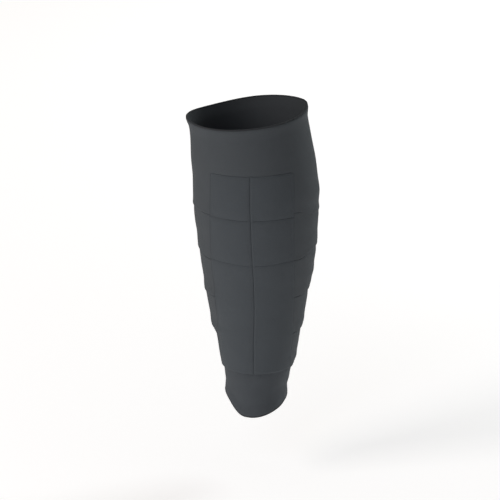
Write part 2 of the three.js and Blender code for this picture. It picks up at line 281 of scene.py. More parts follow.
class Form:
    """The tube's outer face as a smooth surface, read from the frame's solid.

    At each height the radius is a short Fourier series in the angle, which evens out the facets.
    """

    TURNS = 144
    HARMONICS = 10
    LEVEL_STEP = 3 * MM
    EVEN_OUT = 6 * MM
    PAST_ENDS = 12 * MM
    HEM_KEPT_OFF = 3 * MM
    RAY_START = 0.2  # from the axis, outside the sleeve
    TABLE_STEP = 1 * MM
    BACK, AHEAD = 0.25, 0.45  # how far the distance tables run to either side

    def __init__(self, node):
        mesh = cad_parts[node].data
        low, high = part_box(node)
        tree = BVHTree.FromPolygons([v.co for v in mesh.vertices], [p.vertices for p in mesh.polygons])
        self.levels = np.arange(low.z - self.PAST_ENDS, high.z + self.PAST_ENDS, self.LEVEL_STEP)
        turns = np.arange(self.TURNS) * 2 * math.pi / self.TURNS
        radii = np.full((len(self.levels), self.TURNS), np.nan)
        rim, hem = rim_at(turns), hem_at(turns)
        for j, turn in enumerate(turns):
            way = Vector((math.sin(turn), -math.cos(turn), 0))
            for i, z in enumerate(self.levels):
                if hem[j] + self.HEM_KEPT_OFF < z < rim[j] - RIM_ROLL_HEIGHT:
                    hit = tree.ray_cast(way * self.RAY_START + Vector((0, 0, z)), -way)[0]
                    if hit is not None and hit.dot(way) > 0:
                        radii[i, j] = Vector((hit.x, hit.y)).length
            self._carry_on(radii[:, j])
        series = np.fft.rfft(radii, axis=1)[:, : self.HARMONICS + 1] / self.TURNS
        series[:, 1:] *= 2
        self.series = self._even_out(series)
        self._measure()

    def _carry_on(self, column):
        """Carries a column of radii past its ends at the slope that it has there."""
        known = np.flatnonzero(~np.isnan(column))
        first, last, reach = known[0], known[-1], 6
        below, above = np.arange(first), np.arange(last + 1, len(column))
        low_slope = (column[first + reach] - column[first]) / reach
        high_slope = (column[last] - column[last - reach]) / reach
        column[below] = column[first] + low_slope * (below - first)
        column[above] = column[last] + high_slope * (above - last)

    def _even_out(self, series):
        reach = int(3 * self.EVEN_OUT / self.LEVEL_STEP)
        weights = np.exp(-0.5 * (np.arange(-reach, reach + 1) * self.LEVEL_STEP / self.EVEN_OUT) ** 2)
        weights /= weights.sum()
        low = 2 * series[0] - series[reach:0:-1]
        high = 2 * series[-1] - series[-2 : -reach - 2 : -1]
        wide = np.concatenate([low, series, high])
        columns = [np.convolve(wide[:, k], weights, "valid") for k in range(series.shape[1])]
        return np.stack(columns, axis=1)

    def radius(self, turn, z):
        """The radius, and its rate of change with the angle."""
        place = np.clip((z - self.levels[0]) / self.LEVEL_STEP, 1, len(self.levels) - 2.001)
        i = place.astype(int)
        t = (place - i)[:, None]
        a, b, c, d = (self.series[i + k] for k in (-1, 0, 1, 2))
        series = b + 0.5 * t * (c - a + t * (2 * a - 5 * b + 4 * c - d + t * (3 * (b - c) + d - a)))
        k = np.arange(series.shape[1])
        waves = np.exp(1j * turn[:, None] * k) * series
        return waves.real.sum(axis=1), (1j * k * waves).real.sum(axis=1)

    def _measure(self):
        """Tables of distance against angle, and of angle against distance, level by level."""
        self.fine = np.linspace(-math.pi, 3 * math.pi, 1441)
        self.reach = np.arange(-self.BACK, self.AHEAD, self.TABLE_STEP)
        self.distances = np.zeros((len(self.levels), len(self.fine)))
        self.turns = np.zeros((len(self.levels), len(self.reach)))
        for i, z in enumerate(self.levels):
            radius, slope = self.radius(self.fine, np.full(len(self.fine), z))
            speed = np.hypot(radius, slope)
            steps = (speed[1:] + speed[:-1]) / 2 * np.diff(self.fine)
            along = np.concatenate([[0], np.cumsum(steps)])
            self.distances[i] = along - np.interp(0, self.fine, along)
            self.turns[i] = np.interp(self.reach, self.distances[i], self.fine)
        self.girths = np.array([np.interp(2 * math.pi, self.fine, row) for row in self.distances])

    def _look_up(self, table, x, start, step, z):
        column = np.clip((x - start) / step, 0, table.shape[1] - 1.001)
        row = np.clip((z - self.levels[0]) / self.LEVEL_STEP, 0, len(self.levels) - 1.001)
        i, j = row.astype(int), column.astype(int)
        v, u = row - i, column - j
        first = mix(table[i, j], table[i, j + 1], u)
        second = mix(table[i + 1, j], table[i + 1, j + 1], u)
        return mix(first, second, v)

    def girth(self, z):
        return np.interp(z, self.levels, self.girths)

    def from_back(self, s, z):
        """The shorter way from the back line, below zero on the inner side, for an s that runs on round."""
        return np.where(s > self.girth(z) / 2, s - self.girth(z), s)

    def turn_at(self, s, z):
        """The angle at a distance along the cloth."""
        way = s + drift(self.from_back(s, z), z)
        return self._look_up(self.turns, way, -self.BACK, self.TABLE_STEP, z)

    def distance(self, turn, z):
        """The distance along the cloth at an angle."""
        return self._look_up(self.distances, turn, self.fine[0], self.fine[1] - self.fine[0], z)

    def points(self, turn, z, off):
        """Points that stand off the face, level with z, with the rolled ends and the soft swells."""
        radius, slope = self.radius(turn, z)
        sin, cos = np.sin(turn), np.cos(turn)
        out = np.stack([radius * sin - slope * cos, -radius * cos - slope * sin], axis=1)
        out = out / np.linalg.norm(out, axis=1)[:, None]
        rim, hem = rim_at(turn), hem_at(turn)
        stand = off + RIM_ROLL * smooth(z, rim - RIM_ROLL_HEIGHT, rim)
        stand = stand + HEM_ROLL * (1 - 0.4 * sin) * smooth(-z, -hem - HEM_ROLL_HEIGHT, -hem)
        for side, spots in SWELLS.items():
            stand = stand + bump(degrees(turn, side), 0, SWELL_REACH) * through(z / MM, spots) * MM
        flat = np.stack([radius * sin, -radius * cos], axis=1) + out * stand[:, None]
        return np.column_stack([flat, z])


FORM = Form("sleeve_body")

# Places of the seams, read from the frame's solids
UPPER, MIDDLE, LOWER = (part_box(f"back_panel_{row}_outer") for row in ("upper", "middle", "lower"))
GROOVE = UPPER[0].z - MIDDLE[1].z
CROSS_SEAMS = {
    "top": UPPER[1].z + GROOVE / 2,
    "middle": (UPPER[0].z + MIDDLE[1].z) / 2,
    "lower": (MIDDLE[0].z + LOWER[1].z) / 2,
    "bottom": LOWER[0].z - GROOVE / 2,
}
PANEL_SPOTS = node_points("back_panel_upper_outer")
PANEL_REACH = FORM.distance(np.arctan2(PANEL_SPOTS[:, 0], -PANEL_SPOTS[:, 1]), PANEL_SPOTS[:, 2])
SIDE_SEAM = float(PANEL_REACH.max()) + GROOVE / 2
BAND_FEET = {name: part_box(name)[0].z for name in BAND_EDGES}


def seam_line(kind, s):
    """Height of a cross seam at distances along the cloth from the back line."""
    return CROSS_SEAMS[kind] + through(np.asarray(s) / MM, CROSS_RISE[kind]) * MM


BOTTOM_SEAM = float(seam_line("bottom", 0))


def add_object(name, data):
    made = bpy.data.objects.new(name, data)
    bpy.context.scene.collection.objects.link(made)
    return made


def make_mesh(name, points, faces, cloth=None, face_material=None):
    """A mesh object. cloth holds the (s, z) of each corner of each face, for the knit's direction."""
    mesh = bpy.data.meshes.new(name)
    mesh.from_pydata(np.asarray(points).tolist(), [], faces)
    mesh.polygons.foreach_set("use_smooth", np.ones(len(mesh.polygons), bool))
    if cloth is not None:
        layer = mesh.attributes.new("cloth", "FLOAT_VECTOR", "CORNER")
        flat = np.concatenate([cloth, np.zeros(cloth.shape[:-1] + (1,))], axis=-1)
        layer.data.foreach_set("vector", flat.astype(np.float32).ravel())
    if face_material is not None:
        mesh.polygons.foreach_set("material_index", face_material.astype(np.int32))
    mesh.update()
    return add_object(name, mesh)


def sheet_mesh(name, turn, z, s, outer, inner, ring=False, mask=None, lined=False):
    """A closed sheet of cloth on a grid of rows, from the top down, and columns, towards +X at the back.

    outer and inner are the stand-offs of its two faces, and mask says which cells are cloth. A ring
    joins its last column to its first. A lined sheet has a second material on its inner face.
    """
    rows, columns = z.shape
    points = np.vstack([FORM.points(turn.ravel(), z.ravel(), off.ravel()) for off in (outer, inner)])
    cells = columns if ring else columns - 1
    if mask is None:
        mask = np.ones((rows - 1, cells), bool)
    period = FORM.girth(z[:, 0])
    faces, flat, lining = [], [], []

    def add(second, *corners):
        """A face for every cell. A corner is its sheet, row and column, which may run past the end."""
        index = [sheet * rows * columns + r * columns + c % columns for sheet, r, c in corners]
        along = [s[r, c % columns] + (c // columns) * period[r] for _, r, c in corners]
        height = [z[r, c % columns] for _, r, c in corners]
        faces.append(np.column_stack(index))
        flat.append(np.stack([np.column_stack(along), np.column_stack(height)], axis=-1))
        lining.append(np.full(len(index[0]), int(second)))

    r, c = np.nonzero(mask)
    add(False, (0, r, c), (0, r + 1, c), (0, r + 1, c + 1), (0, r, c + 1))
    add(lined, (1, r, c), (1, r, c + 1), (1, r + 1, c + 1), (1, r + 1, c))
    wide = np.zeros((rows + 1, cells + 2), bool)
    wide[1:-1, 1:-1] = mask
    if ring:
        wide[:, 0], wide[:, -1] = wide[:, -2], wide[:, 1]
    open_sides = (
        (~wide[:-2, 1:-1] & mask, (0, 1), (0, 0)),
        (~wide[2:, 1:-1] & mask, (1, 0), (1, 1)),
        (~wide[1:-1, :-2] & mask, (0, 0), (1, 0)),
        (~wide[1:-1, 2:] & mask, (1, 1), (0, 1)),
    )
    for cut, a, b in open_sides:
        r, c = np.nonzero(cut)
        first, second = (r + a[0], c + a[1]), (r + b[0], c + b[1])
        if len(r):
            add(False, (0, *first), (1, *first), (1, *second), (0, *second))
    faces, flat, lining = (np.concatenate(part) for part in (faces, flat, lining))
    used = np.unique(faces)
    renumber = np.zeros(len(points), int)
    renumber[used] = np.arange(len(used))
    return make_mesh(name, points[used], renumber[faces].tolist(), flat, lining)


def graded(start, stop, step, fine=FINE):
    """Places from start to stop about a step apart, and ever closer near both ends."""
    near, gap = [0], fine
    while gap < step:
        near.append(near[-1] + gap)
        gap *= 1.6
    low, high = start + np.array(near), stop - np.array(near[::-1])
    count = max(2, int(round((high[0] - low[-1]) / step)) + 1)
    return np.concatenate([low[:-1], np.linspace(low[-1], high[0], count), high[1:]])


def row_shares(length, step):
    """Such places along a length, as shares of it, for rows."""
    return graded(0, 1, step / length, FINE / length)


def rounded(away, radius):
    """0 at an edge and 1 from a radius inside it, along a quarter circle."""
    t = np.clip(away / radius, 0, 1)
    return np.sqrt(1 - (1 - t) ** 2)


def ripple(kind, s, z, seed, waves=12):
    """A kind of cloth's gentle unevenness."""
    depth, size, stretch = UNEVEN[kind]
    rng = np.random.default_rng(seed)
    total = np.zeros_like(s)
    for _ in range(waves):
        way, phase = rng.uniform(0, 2 * math.pi, 2)
        pitch = size * rng.uniform(0.7, 1.8)
        across = s * math.cos(way) / stretch + z * math.sin(way)
        total = total + np.sin(across * 2 * math.pi / pitch + phase)
    return depth * total / (1.5 * math.sqrt(waves))


def round_corner(s, z, side, away, slit):
    """Moves the cloth near a top corner of the panel strip so that its two edges meet in an arc.

    The corner lies a distance away from the back line, on the inner (-1) or outer (1) side, and the slit
    above the top seam.
    """
    x, y = away - s * side, float(seam_line("top", side * away)) + slit - z
    along = np.where(x > y, np.clip(x, 0, CORNER), -np.clip(y, 0, CORNER))
    arc = (1 - along / CORNER) * math.pi / 4
    edge_x, edge_y = np.maximum(along, 0), np.maximum(-along, 0)
    gap = np.hypot(np.maximum(x, 0) - edge_x, np.maximum(y, 0) - edge_y)
    gap = np.hypot(gap, np.hypot(np.minimum(x, 0), np.minimum(y, 0)))
    fade = bump(gap, 0, CORNER_REACH)
    move_x = CORNER - CORNER * np.sin(arc) - edge_x
    move_y = CORNER - CORNER * np.cos(arc) - edge_y
    return s - move_x * fade * side, z - move_y * fade


def seam_pull(away, kept):
    """Share of its stand-off that the cloth keeps at a distance from a seam."""
    return mix(kept, 1, rounded(away, SEAM_SHOULDER))


def side_kept(distance, z):
    """What a side seam keeps, on the side on which a distance from the back line lies."""
    inner = mix(SEAMS["inner"][1], SEAMS["inner_low"][1], smooth(-z, 90 * MM, 110 * MM))
    return np.where(distance > 0, SEAMS["outer"][1], inner)


def end_pinch(away):
    return mix(END_KEPT, 1, rounded(away, END_PINCH))


def dress(piece, materials, node):
    """Puts a piece in place of its CAD node, with its finish."""
    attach(piece, "root")
    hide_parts(node)
    for material in materials:
        piece.data.materials.append(material)
    return piece


class Recipe:
    """Short-hand for a material's nodes."""

    def __init__(self, name):
        self.material = bpy.data.materials.new(name)
        self.material.use_nodes = True
        self.tree = self.material.node_tree
        self.shader = self.tree.nodes["Principled BSDF"]

    def node(self, kind, inputs=None, **settings):
        made = self.tree.nodes.new(kind)
        for key, value in settings.items():
            setattr(made, key, value)
        self.feed(made, inputs or {})
        return made

    def feed(self, made, inputs):
        for key, value in inputs.items():
            if isinstance(value, bpy.types.NodeSocket):
                self.tree.links.new(value, made.inputs[key])
            else:
                made.inputs[key].default_value = value

    def maths(self, operation, *values):
        return self.node("ShaderNodeMath", dict(enumerate(values)), operation=operation).outputs[0]

    def times(self, a, b):
        return self.maths("MULTIPLY", a, b)

    def wave(self, x):
        """A sine wave of x between 0 and 1."""
        return self.maths("MULTIPLY_ADD", self.maths("SINE", self.times(x, 2 * math.pi)), 0.5, 0.5)

    def cloth(self):
        """s and z of the cloth, in millimetres."""
        place = self.node("ShaderNodeAttribute", attribute_name="cloth").outputs["Vector"]
        parts = self.node("ShaderNodeSeparateXYZ", {"Vector": place}).outputs
        return self.maths("DIVIDE", parts["X"], MM), self.maths("DIVIDE", parts["Y"], MM)

    def noise(self, x, y, size_x, size_y, detail=2.0, seed=0.0):
        """Noise from 0 to 1 with grains of the given sizes."""
        place = {"X": self.maths("DIVIDE", x, size_x), "Y": self.maths("DIVIDE", y, size_y), "Z": seed}
        spot = self.node("ShaderNodeCombineXYZ", place).outputs[0]
        made = self.node("ShaderNodeTexNoise", {"Vector": spot, "Scale": 1.0, "Detail": detail})
        return made.outputs["Fac"]

    def vary(self, value, low, high):
        """A value from 0 to 1 spread over low to high."""
        inputs = {"Value": value, "To Min": low, "To Max": high}
        return self.node("ShaderNodeMapRange", inputs).outputs["Result"]

    def tint(self, colour, share):
        """The colour made lighter or darker by a share."""
        made = self.node("ShaderNodeVectorMath", {0: colour, "Scale": share}, operation="SCALE")
        return made.outputs["Vector"]

    def finish(self, colour, roughness, bumps):
        """bumps are (height, depth in metres, strength) from the coarsest to the finest."""
        normal = {}
        for height, depth, strength in bumps:
            inputs = {"Height": height, "Distance": depth, "Strength": strength, **normal}
            normal = {"Normal": self.node("ShaderNodeBump", inputs).outputs["Normal"]}
        inputs = {"Base Color": colour, "Roughness": roughness, "Specular IOR Level": 0.3, **normal}
        self.feed(self.shader, inputs)
        return self.material


def knit_material(name, colour, wale=0.85, course=0.62, purl=False):
    """Knitted yarn in wales and courses of the given pitches, in millimetres."""
    r = Recipe(name)
    s, z = r.cloth()
    across = r.times(r.maths("PINGPONG", r.maths("DIVIDE", s, wale), 0.5), 2.0)
    strand = r.maths("SINE", r.times(across, math.pi))
    slant = r.times(across, 0.15 if purl else 0.9)
    loop = r.wave(r.maths("ADD", r.maths("DIVIDE", z, course), slant))
    yarn = r.times(strand, r.maths("MULTIPLY_ADD", loop, 0.6, 0.4))
    streaks = r.noise(s, z, 2.4, 0.55, detail=3.0)
    patches = r.noise(s, z, 38.0, 30.0, seed=3.7)
    slubs = r.noise(s, z, 9.0, 1.1, seed=8.1)
    shade = r.times(r.vary(streaks, 0.9, 1.1), r.vary(patches, 0.95, 1.05))
    # Painted shade: the yarn term darkens the hollows between the loops; the streaks, patches and slubs are
    # the yarn's own tone.
    shade = r.times(shade, r.vary(yarn, 0.86, 1.06))
    shade = r.times(shade, r.vary(slubs, 0.97, 1.03))
    roughness = r.vary(streaks, 0.84, 0.96)
    soft = r.noise(s, z, 5.0, 4.0, detail=1.0, seed=1.3)
    return r.finish(r.tint(colour, shade), roughness, [(soft, 0.25 * MM, 0.5), (yarn, 0.12 * MM, 0.8)])


def tape_material(name, colour):
    """Close overlock threads round a bound edge. Its cloth's z is the way round the bead, in mm."""
    r = Recipe(name)
    s, around = r.cloth()
    wave = r.wave(r.maths("ADD", r.maths("DIVIDE", s, 1.1), r.times(around, 0.12)))
    ply = r.noise(s, around, 0.5, 0.9)
    # Painted shade: the wave darkens the grooves between the overlock threads; the ply noise is the thread's
    # own tone.
    shade = r.times(r.vary(wave, 0.75, 1.15), r.vary(ply, 0.85, 1.15))
    bumps = [(wave, 0.18 * MM, 0.9), (ply, 0.05 * MM, 0.5)]
    return r.finish(r.tint(colour, shade), r.vary(ply, 0.75, 0.95), bumps)


def thread_material(name, colour):
    """Spun sewing thread, with its twist."""
    r = Recipe(name)
    place = r.node("ShaderNodeTexCoord").outputs["Object"]
    twist = r.node("ShaderNodeTexNoise", {"Vector": place, "Scale": 3200.0, "Detail": 1.0}).outputs["Fac"]
    colour = r.tint(colour, r.vary(twist, 0.8, 1.2))
    return r.finish(colour, r.vary(twist, 0.6, 0.8), [(twist, 0.05 * MM, 0.6)])


KNIT = knit_material("slate_knit", (0.0517, 0.0572, 0.0638))
BAND_KNIT = knit_material("slate_band_knit", (0.0528, 0.0583, 0.0638))
PANEL_KNIT = knit_material("slate_panel_knit", (0.0517, 0.0583, 0.0649), wale=0.75, course=0.58)
LINING = knit_material("slate_lining", (0.04, 0.043, 0.047), course=0.7, purl=True)
# The tape is darker than the knit partly for its own dark overlock thread and partly as painted shade for
# the dark line along the rim and the lower edge.
TAPE = tape_material("edge_tape", (0.028, 0.03, 0.033))
THREAD = thread_material("seam_thread", (0.044, 0.048, 0.053))


def tube():
    """The tube that everything else is sewn on, down to its cuff."""
    columns = np.linspace(0, 2 * math.pi, TUBE_COLUMNS, endpoint=False)
    rim, hem = rim_at(columns), hem_at(columns)
    z = mix(rim, hem, graded(0, 1, *TUBE_ROWS)[:, None])
    turn = np.tile(columns, (len(z), 1))
    s = FORM.distance(turn, z)
    below, from_back = BOTTOM_SEAM - z, FORM.from_back(s, z)
    uneven = ripple("tube", s, z, 5) * smooth(below, 1 * MM, 12 * MM)
    crease = bump(from_back, CREASE_PLACE[0], CREASE_REACH[0], 4)
    crease = crease * bump(below, CREASE_PLACE[1], CREASE_REACH[1])
    dip = bump(below, DIP_DROP, np.where(below > DIP_DROP, *DIP_REACH))
    deep = SEAM_DIP * (1 + bump(from_back, *DOUBLE_DIP, 4))
    outer = uneven - CREASE * crease - deep * dip
    inner = -TUBE_WALL * end_pinch(np.minimum(rim - z, z - hem))
    piece = sheet_mesh("sleeve_tube", turn, z, s, outer, inner, ring=True, lined=True)
    dress(piece, [KNIT, LINING], "sleeve_body")
    girths = FORM.girth(np.arange(z.min(), z.max(), 1 * MM))
    return piece, {"flat": (float(girths.max()), len(girths) * MM), "area": float(girths.sum() * MM)}


def lower_edge(foot, edge, distance):
    """Height of a band's lower edge a distance from the back line."""
    near, far = (np.where(distance > 0, outer, inner) for inner, outer in zip(*edge["rise"]))
    rise = mix(near, far, smooth(np.abs(distance) - SIDE_SEAM, *RISE_REACH))
    round_front = smooth(2 * np.abs(distance) / FORM.girth(foot), *RISE_END)
    return foot + rise * MM * (1 - round_front)


def band_faces(name, turn, z, s, top, foot, away_foot, away_seam, under, kept, seed):
    """Stand-offs of a band's outer and inner face.

    It runs level through the lap at its top, bellies out below and is drawn in again at its foot. Beside
    the back panels it is drawn flush with them and pressed thin, so that the next band finds room below
    its edge. under is how far below the edge of the band above the cloth is, and kept goes to seam_pull.
    """
    edge = BAND_EDGES[name]
    stand = mix(*edge["stand"], (1 + np.sin(turn)) / 2)
    run = np.clip((top - LAP - z) / (top - foot - 2 * LAP), 0, 1)
    run = mix(run, smooth(run, 0, 1), 0.5)
    inner = LAYER_GAP + stand * (LAYER + LAYER_GAP) * run
    shown = smooth(top - z, LAP, LAP + 8 * MM)
    inner = inner + (UNEVEN["band"][0] + ripple("band", s, z, seed)) * shown
    rests_at = LAYER_GAP + (LAYER + REST_GAP if name != "side_band_4" else 0)
    inner = mix(rests_at, inner, smooth(away_foot, 1 * MM, TUCK))
    beside = 1 - smooth(away_seam, FLUSH, edge["flush"] * MM)
    flush = mix(UNDER_LAP, UNDER_EDGE, smooth(under, -PRESSED, -0.3 * MM))
    flush = mix(flush, PANEL_LEVEL, smooth(under, 0, 0.8 * MM))
    pressed = mix(PANEL_LEVEL - UNDER_EDGE - 0.1 * MM, LAYER, smooth(away_foot, 0.3 * MM, PRESSED))
    thick = mix(LAYER, np.minimum(pressed, flush - 0.05 * MM), beside)
    inner = mix(inner, flush - thick, beside)
    body = rounded(away_foot, mix(EDGE_ROUND, EDGE_ROUND / 2, beside))
    pull = seam_pull(away_seam, kept)
    outer = (inner + thick * mix(mix(*EDGE_KEPT, beside), 1, body)) * pull
    return outer, inner * pull


def side_band(name, above, seed):
    """A band from the outer side seam round the front to the inner one, tucked under the one above."""
    edge, foot = BAND_EDGES[name], BAND_FEET[name]
    top = BAND_FEET[above] + LAP - LAYER_GAP
    start = SIDE_SEAM + SEAMS["outer"][0]
    span = FORM.girth(foot) - 2 * start
    share = graded(0, span, BAND_STEP) / span
    distance = FORM.from_back(start + share * span, foot)
    low = lower_edge(foot, edge, distance)
    lap_end = lower_edge(BAND_FEET[above], BAND_EDGES[above], distance)
    lap_rows = row_shares(LAP, BAND_ROW)
    shown_rows = row_shares(BAND_FEET[above] - foot, BAND_ROW)[1:]
    z = np.vstack([mix(top, lap_end, lap_rows[:, None]), mix(lap_end, low, shown_rows[:, None])])
    s = start + share * (FORM.girth(z) - 2 * start)
    turn = FORM.turn_at(s, z)
    away_seam = np.minimum(s - start, FORM.girth(z) - start - s)
    kept = side_kept(distance, z)
    outer, inner = band_faces(name, turn, z, s, top, foot, z - low, away_seam, lap_end - z, kept, seed)
    piece = sheet_mesh(name + "_cloth", turn, z, s, outer, inner)
    dress(piece, [BAND_KNIT], name)
    widths = FORM.girth(np.linspace(foot, top, 20)) - 2 * start
    return piece, {"flat": (float(widths.max()), top - foot), "area": float(widths.mean() * (top - foot))}


def top_band():
    """The band from the rim down, cut out round the two upper back panels."""
    edge, foot = BAND_EDGES["top_band"], BAND_FEET["top_band"]
    cut, slit = SIDE_SEAM + SEAMS["outer"][0], SEAMS["top"][0]
    peak = float(seam_line("top", 0))
    level = float(rim_at(0))
    over = graded(-cut, cut, BAND_STEP)
    span = FORM.girth(0) - 2 * cut
    share = graded(0, span, TOP_BAND_STEP)[1:-1] / span
    high = row_shares(level - peak, BAND_ROW)
    low = row_shares(peak - foot, BAND_ROW)[1:]
    columns = len(over) + len(share)

    def reach(z):
        """Distance along the cloth of every point of a grid of heights."""
        outside = cut + share * (FORM.girth(z[:, len(over) :]) - 2 * cut)
        return np.hstack([np.tile(over, (len(z), 1)), outside])

    near_rim = reach(np.full((1, columns), level))[0]
    rim = rim_at(FORM.turn_at(near_rim, level))
    distance = FORM.from_back(reach(np.full((1, columns), foot))[0], foot)
    bottom = lower_edge(foot, edge, distance)
    roof = seam_line("top", distance) + slit
    z = np.vstack([mix(rim, roof, high[:, None]), mix(roof, bottom, low[:, None])])
    s = reach(z)
    from_back = FORM.from_back(s, z)
    wrap = s - from_back
    away_seam = np.hypot(np.maximum(np.abs(from_back) - cut, 0), np.maximum(z - roof, 0))
    away_foot = np.where(np.arange(columns) >= len(over), z - bottom, FAR)
    flat_z = z
    for side in (-1, 1):
        from_back, z = round_corner(from_back, z, side, cut, slit)
    s = from_back + wrap
    turn = FORM.turn_at(s, z)
    top = level + 6 * MM
    kept = mix(side_kept(distance, flat_z), SEAMS["top"][1], smooth(flat_z, roof - CORNER, roof))
    outer, inner = band_faces("top_band", turn, flat_z, s, top, foot, away_foot, away_seam, FAR, kept, 11)
    pinch = end_pinch(rim - flat_z)
    outer, inner = outer * pinch, inner * pinch
    mask = np.ones((len(z) - 1, columns), bool)
    mask[len(high) - 1 :, : len(over) - 1] = False
    piece = sheet_mesh("top_band_cloth", turn, z, s, outer, inner, ring=True, mask=mask)
    dress(piece, [BAND_KNIT], "top_band")
    girths = FORM.girth(np.arange(foot, level, 1 * MM))
    area = float(girths.sum() * MM) - 2 * cut * (peak - foot)
    return piece, {"flat": (float(girths.max()), len(girths) * MM), "area": area}


def settle_cloth(width, height, seed):
    """The face of a padded panel, from a cloth simulation, as a grid of stand-offs from 0 to 1.

    A flat sheet a little larger than its place is held along its four seams and blown up from behind.
    It is simulated at ten times its size, where the solver is steadier.
    """
    scale, cell, frames = 10, 1.9 * MM, 26
    columns, rows = int(round(width / cell)) + 1, int(round(height / cell)) + 1
    x, y = np.meshgrid(np.linspace(0, 1, columns), np.linspace(0, 1, rows))
    dome = 16 * x * (1 - x) * y * (1 - y)
    rng = np.random.default_rng(seed)
    start = 0.4 * MM * dome + 0.1 * MM * rng.uniform(-1, 1, dome.shape) * (dome > 0.05)
    points = np.stack([x * width, y * height, start], axis=-1).reshape(-1, 3) * scale
    index = np.arange(rows * columns).reshape(rows, columns)
    faces = np.stack([index[:-1, :-1], index[:-1, 1:], index[1:, 1:], index[1:, :-1]], axis=-1)
    sheet = make_mesh("settling", points, faces.reshape(-1, 4).tolist())
    border = (x == 0) | (x == 1) | (y == 0) | (y == 1)
    seam = sheet.vertex_groups.new(name="seam")
    seam.add(index[border].tolist(), 1.0, "REPLACE")
    modifier = sheet.modifiers.new("settle", "CLOTH")
    settings = modifier.settings
    settings.quality = 8
    settings.mass = 0.2
    settings.tension_stiffness = settings.compression_stiffness = 18
    settings.shear_stiffness = 6
    settings.bending_stiffness = 0.6
    settings.vertex_group_mass = "seam"
    settings.shrink_min = -0.025
    settings.use_pressure = True
    settings.uniform_pressure_force = 3.0
    settings.effector_weights.gravity = 0.0
    modifier.collision_settings.use_collision = False
    modifier.point_cache.frame_start, modifier.point_cache.frame_end = 1, frames
    scene = bpy.context.scene
    for number in range(1, frames + 1):
        scene.frame_set(number)
    settled = sheet.evaluated_get(bpy.context.evaluated_depsgraph_get())
    face = np.array([v.co for v in settled.data.vertices])[:, 2].reshape(rows, columns)
    bpy.data.objects.remove(sheet)
    scene.frame_set(1)
    return face / max(face.max(), 1e-6)


def sample(grid, u, v):
    """Smoothly reads a grid whose sides run from 0 to 1."""

    def weights(t):
        t2, t3 = t * t, t * t * t
        first, last = -0.5 * t + t2 - 0.5 * t3, 0.5 * (t3 - t2)
        return first, 1 - 2.5 * t2 + 1.5 * t3, 0.5 * t + 2 * t2 - 1.5 * t3, last

    wide = np.pad(grid, 1, mode="reflect", reflect_type="odd")
    x, y = np.clip(u, 0, 1) * (grid.shape[1] - 1), np.clip(v, 0, 1) * (grid.shape[0] - 1)
    i = np.minimum(y.astype(int), grid.shape[0] - 2)
    j = np.minimum(x.astype(int), grid.shape[1] - 2)
    total = np.zeros_like(u)
    for a, down in enumerate(weights(y - i)):
        for b, right in enumerate(weights(x - j)):
            total = total + down * right * wide[i + a, j + b]
    return total


def back_panel(row, side, top, bottom, seed):
    """A padded panel on the inner (-1) or outer (1) side of the centre seam.

    top and bottom are the kinds of its cross seams.
    """
    side_name = "outer" if side > 0 else "inner"
    centre_slit, centre_kept = SEAMS["centre"]
    (top_slit, top_kept), (bottom_slit, bottom_kept) = SEAMS[top], SEAMS[bottom]
    near, far = centre_slit, SIDE_SEAM - SEAMS[side_name][0]
    ends = (near, far) if side > 0 else (-far, -near)
    height = CROSS_SEAMS[top] - CROSS_SEAMS[bottom]
    s, down = np.meshgrid(graded(*ends, PANEL_STEP), row_shares(height, PANEL_STEP))
    high, low = seam_line(top, s) - top_slit, seam_line(bottom, s) + bottom_slit
    z = mix(high, low, down)
    pull = seam_pull(np.abs(s) - near, centre_kept) * seam_pull(far - np.abs(s), side_kept(s, z))
    pull = pull * seam_pull(high - z, top_kept) * seam_pull(z - low, bottom_kept)
    field = settle_cloth(ends[1] - ends[0], height, seed)
    crown = sample(field, (s - ends[0]) / (ends[1] - ends[0]), down)
    level = PANEL_LEVEL + PANEL_CROWN * crown + ripple("panel", s, z, seed)
    outer = level * pull
    inner = np.full_like(outer, PANEL_BACK)
    if row == "upper":
        s, z = round_corner(s, z, side, far, -top_slit)
    name = f"back_panel_{row}_{side_name}"
    piece = sheet_mesh(name + "_pad", FORM.turn_at(s, z), z, s, outer, inner)
    return dress(piece, [PANEL_KNIT], name)


def bound_edge(node, end_at, lift, inner, outer, half_height):
    """A rounded bead of close thread along one end of the cloth, between two stand-offs."""
    columns, sides = 360, 14
    turn = np.linspace(0, 2 * math.pi, columns, endpoint=False)
    around = np.linspace(0, 2 * math.pi, sides, endpoint=False)
    middle, half_width = (inner + outer) / 2, (outer - inner) / 2
    centre = end_at(turn) + lift
    points = []
    for way in around:
        bead = FORM.points(turn, centre, np.full(columns, middle + half_width * math.cos(way)))
        bead[:, 2] += half_height * math.sin(way)
        points.append(bead)
    points = np.stack(points, axis=1).reshape(-1, 3)
    c, k = np.indices((columns, sides)).reshape(2, -1)
    s = FORM.distance(turn, centre)
    period = FORM.girth(float(centre.mean()))
    half_round = (half_width + half_height) * math.pi / 2

    def corner(c, k):
        along = s[c % columns] + (c // columns) * period
        return c % columns * sides + k % sides, np.column_stack([along, k * half_round * 2 / sides])

    corners = [corner(c, k), corner(c + 1, k), corner(c + 1, k + 1), corner(c, k + 1)]
    faces = np.column_stack([index for index, _ in corners])
    flat = np.stack([place for _, place in corners], axis=1)
    piece = make_mesh(node + "_bead", points, faces.tolist(), flat)
    return dress(piece, [TAPE], node)


